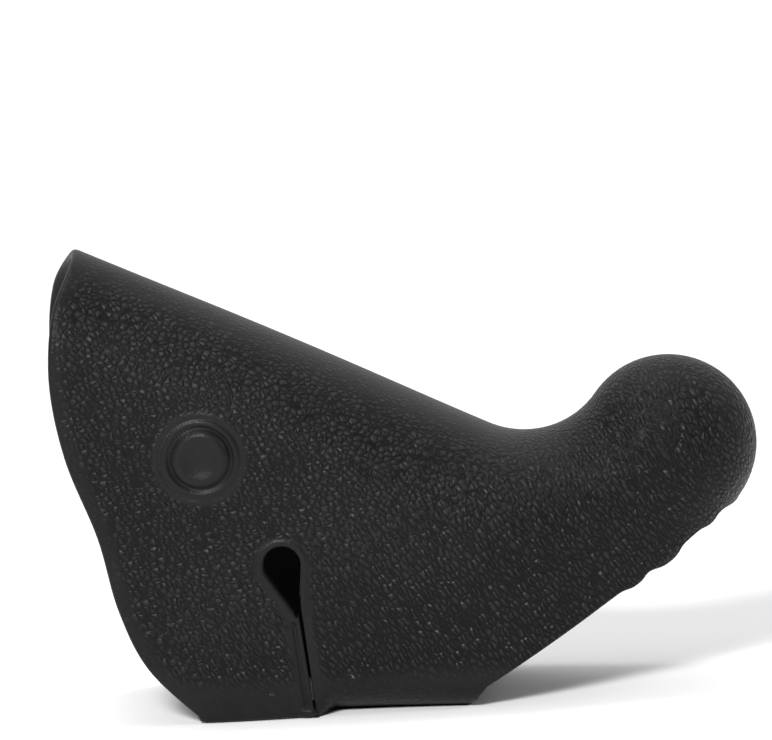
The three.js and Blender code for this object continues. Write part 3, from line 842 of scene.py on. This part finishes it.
def hoodRubberMaterial():
    look = rubberLook
    material = bpy.data.materials.new("hoodRubber")
    material.use_nodes = True
    tree = material.node_tree
    tree.nodes.clear()
    output = tree.nodes.new("ShaderNodeOutputMaterial")
    shader = tree.nodes.new("ShaderNodeBsdfPrincipled")
    link(tree, shader, "BSDF", output, "Surface")
    shader.inputs["Specular IOR Level"].default_value = look["specular"]
    place = (tree.nodes.new("ShaderNodeTexCoord"), "Object")

    swayScale, swayReach = look["sway"]
    sway = noiseNode(tree, place, swayScale, 2)
    shift = tree.nodes.new("ShaderNodeVectorMath")
    shift.operation = "MULTIPLY_ADD"
    shift.inputs[1].default_value = (swayReach, swayReach, swayReach)
    link(tree, sway, "Color", shift, 0)
    link(tree, place[0], "Object", shift, 2)
    wide = pebbleNodes(tree, (shift, "Vector"), look["pebble"], look["stretch"], look["lean"])
    fine = pebbleNodes(tree, (shift, "Vector"), look["finePebble"], *look["fineShape"])
    attributes = {}
    for name in ("coarse", "grain", "outerSide"):
        node = tree.nodes.new("ShaderNodeAttribute")
        node.attribute_name = name
        attributes[name] = (node, "Fac")
    outer = pebbleNodes(tree, (shift, "Vector"), look["outerPebble"], look["outerStretch"], look["lean"])
    fineScaled = mathNode(tree, "MULTIPLY", fine, look["fineDepth"] / look["grainDepth"])
    leaning = mixNode(tree, attributes["outerSide"], wide, outer)
    skin = mixNode(tree, attributes["coarse"], fineScaled, leaning)
    masked = mathNode(tree, "MULTIPLY", skin, attributes["grain"])
    # painted light: the pebble tops get the lighter colour as a painted highlight, the creases keep the dark
    # one as painted shade
    topHighlightMask = mathNode(tree, "MULTIPLY", rangeNode(tree, skin, 0.0, 0.30), attributes["grain"])

    poreScale, poreShare = look["pores"]
    pores = noiseNode(tree, place, poreScale, 3)
    poreHeight = mathNode(tree, "MULTIPLY", (pores, "Fac"), poreShare)
    height = mathNode(tree, "ADD", masked, poreHeight)
    bump = tree.nodes.new("ShaderNodeBump")
    bump.inputs["Strength"].default_value = 1.0
    bump.inputs["Distance"].default_value = look["grainDepth"] * mm
    link(tree, height[0], "Value", bump, "Height")
    link(tree, bump, "Normal", shader, "Normal")

    patches = noiseNode(tree, place, look["patches"], 4)
    cloud = rangeNode(tree, (patches, "Fac"), 0.3, 0.75)
    # bands without grain get a middle tone of painted light, between the crease shade and the top highlight;
    # the patches are random tone
    smooth = mathNode(tree, "MULTIPLY_ADD", attributes["grain"], -look["smoothBandLight"], look["smoothBandLight"])
    worn = mathNode(tree, "MULTIPLY_ADD", cloud, 0.4, 0.7)
    # the painted highlight and crease shade, plus the smooth bands' tone, scaled by the random patches
    paintedTopHighlight = mathNode(tree, "MULTIPLY", mathNode(tree, "ADD", topHighlightMask, smooth), worn)
    colour = tree.nodes.new("ShaderNodeMix")
    colour.data_type = "RGBA"
    colour.inputs[6].default_value = look["base"]
    colour.inputs[7].default_value = look["paintedTopHighlight"]
    link(tree, paintedTopHighlight[0], "Value", colour, 0)
    for spot, half in look["scuffs"]:
        rubbed = tree.nodes.new("ShaderNodeMix")
        rubbed.data_type = "RGBA"
        link(tree, scuffNodes(tree, place, spot, half)[0], "Value", rubbed, 0)
        link(tree, colour, 2, rubbed, 6)
        rubbed.inputs[7].default_value = look["scuffed"]
        colour = rubbed
    link(tree, colour, 2, shader, "Base Color")
    rough = rangeNode(tree, paintedTopHighlight, 0.0, 1.0, look["roughness"][1], look["roughness"][0])
    link(tree, rough[0], "Result", shader, "Roughness")
    return material


hoodRubber = bpy.data.objects.new("hoodRubber", hoodMesh())
scene.collection.objects.link(hoodRubber)
hoodRubber.data.materials.append(hoodRubberMaterial())
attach(hoodRubber, "root")
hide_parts("hood")
print("hood rubber made")

# Camera: the photograph's frame is 772 by 740 px at 6.5 px per mm, seen from 11 degrees above
shot = {
    "elevation": 11.0,      # degrees
    "roll": 3.0,
    "scale": 6.5,           # px per mm
    "origin": (400, 692),   # where the part's origin is in the picture, px
    "frame": (772, 740),
    "away": 3000.0,         # mm
}


def addCamera():
    lift, roll = math.radians(shot["elevation"]), math.radians(shot["roll"])
    flatRight, flatUp = Vector((1, 0, 0)), Vector((0, math.sin(lift), math.cos(lift)))
    right = flatRight * math.cos(roll) - flatUp * math.sin(roll)
    up = flatRight * math.sin(roll) + flatUp * math.cos(roll)
    back = right.cross(up)
    middle = ((shot["frame"][0] / 2 - shot["origin"][0]) / shot["scale"],
              (shot["origin"][1] - shot["frame"][1] / 2) / shot["scale"])
    place = right * middle[0] + up * middle[1] + back * shot["away"]
    data = bpy.data.cameras.new("photoCamera")
    data.sensor_fit = "HORIZONTAL"
    data.sensor_width = 36
    data.lens = 36 * shot["away"] / (shot["frame"][0] / shot["scale"])
    data.clip_start = 0.1
    data.clip_end = 30
    camera = bpy.data.objects.new("photoCamera", data)
    axes = Matrix((right, up, back)).transposed().to_4x4()
    camera.matrix_world = Matrix.Translation(place * mm) @ axes
    scene.collection.objects.link(camera)
    scene.camera = camera


addCamera()

# A bright sweep behind and above, a dim room in front, and soft boxes far enough off for an even floor
studio = {
    "aim": (0, 0, 0.035),
    "floor": {"reach": 4.0, "tone": 0.93, "roughness": 0.9},
    "sky": {"tilt": 40, "low": 0.03, "high": 0.95, "from": 0.0, "to": 0.90},
    "boxes": {
        "key": {"from": (-0.28, -0.76, 0.58), "away": 1.7, "size": (0.40, 0.40), "power": 32.0},
        "top": {"from": (-0.10, 0.10, 1.0), "away": 1.7, "size": (0.4, 0.4), "power": 6.5},
        "side": {"from": (0.85, -0.10, 0.50), "away": 1.7, "size": (0.25, 0.4), "power": 4.0},
    },
}


def addBox(name, setup):
    data = bpy.data.lights.new(name, "AREA")
    data.shape = "RECTANGLE"
    data.size, data.size_y = setup["size"]
    data.energy = setup["power"]
    lamp = bpy.data.objects.new(name, data)
    aim = Vector(studio["aim"])
    lamp.location = aim + Vector(setup["from"]).normalized() * setup["away"]
    lamp.rotation_euler = (aim - lamp.location).to_track_quat("-Z", "Y").to_euler()
    scene.collection.objects.link(lamp)


def addSky():
    setup = studio["sky"]
    world = bpy.data.worlds.new("studioSky")
    world.use_nodes = True
    tree = world.node_tree
    background = tree.nodes["Background"]
    background.inputs["Color"].default_value = (1, 1, 1, 1)
    coords = tree.nodes.new("ShaderNodeTexCoord")
    rise = tree.nodes.new("ShaderNodeVectorMath")
    rise.operation = "DOT_PRODUCT"
    tilt = math.radians(setup["tilt"])
    rise.inputs[1].default_value = (0, math.sin(tilt), math.cos(tilt))
    link(tree, coords, "Generated", rise, 0)
    glow = rangeNode(tree, (rise, "Value"), setup["from"], setup["to"],
                     setup["low"], setup["high"], smooth=True)
    link(tree, glow[0], "Result", background, "Strength")
    scene.world = world


def addStudio():
    addSky()
    for name, setup in studio["boxes"].items():
        addBox(name, setup)
    floorMesh = bpy.data.meshes.new("floor")
    reach, tone = studio["floor"]["reach"], studio["floor"]["tone"]
    corners = [(-reach, -reach, 0), (reach, -reach, 0), (reach, reach, 0), (-reach, reach, 0)]
    floorMesh.from_pydata(corners, [], [(0, 1, 2, 3)])
    floor = bpy.data.objects.new("floor", floorMesh)
    paint = bpy.data.materials.new("paleFloor")
    paint.use_nodes = True
    shader = paint.node_tree.nodes["Principled BSDF"]
    shader.inputs["Base Color"].default_value = (tone, tone, tone, 1)
    shader.inputs["Roughness"].default_value = studio["floor"]["roughness"]
    floorMesh.materials.append(paint)
    scene.collection.objects.link(floor)


addStudio()
scene.view_settings.view_transform = "Standard"
print("studio set")
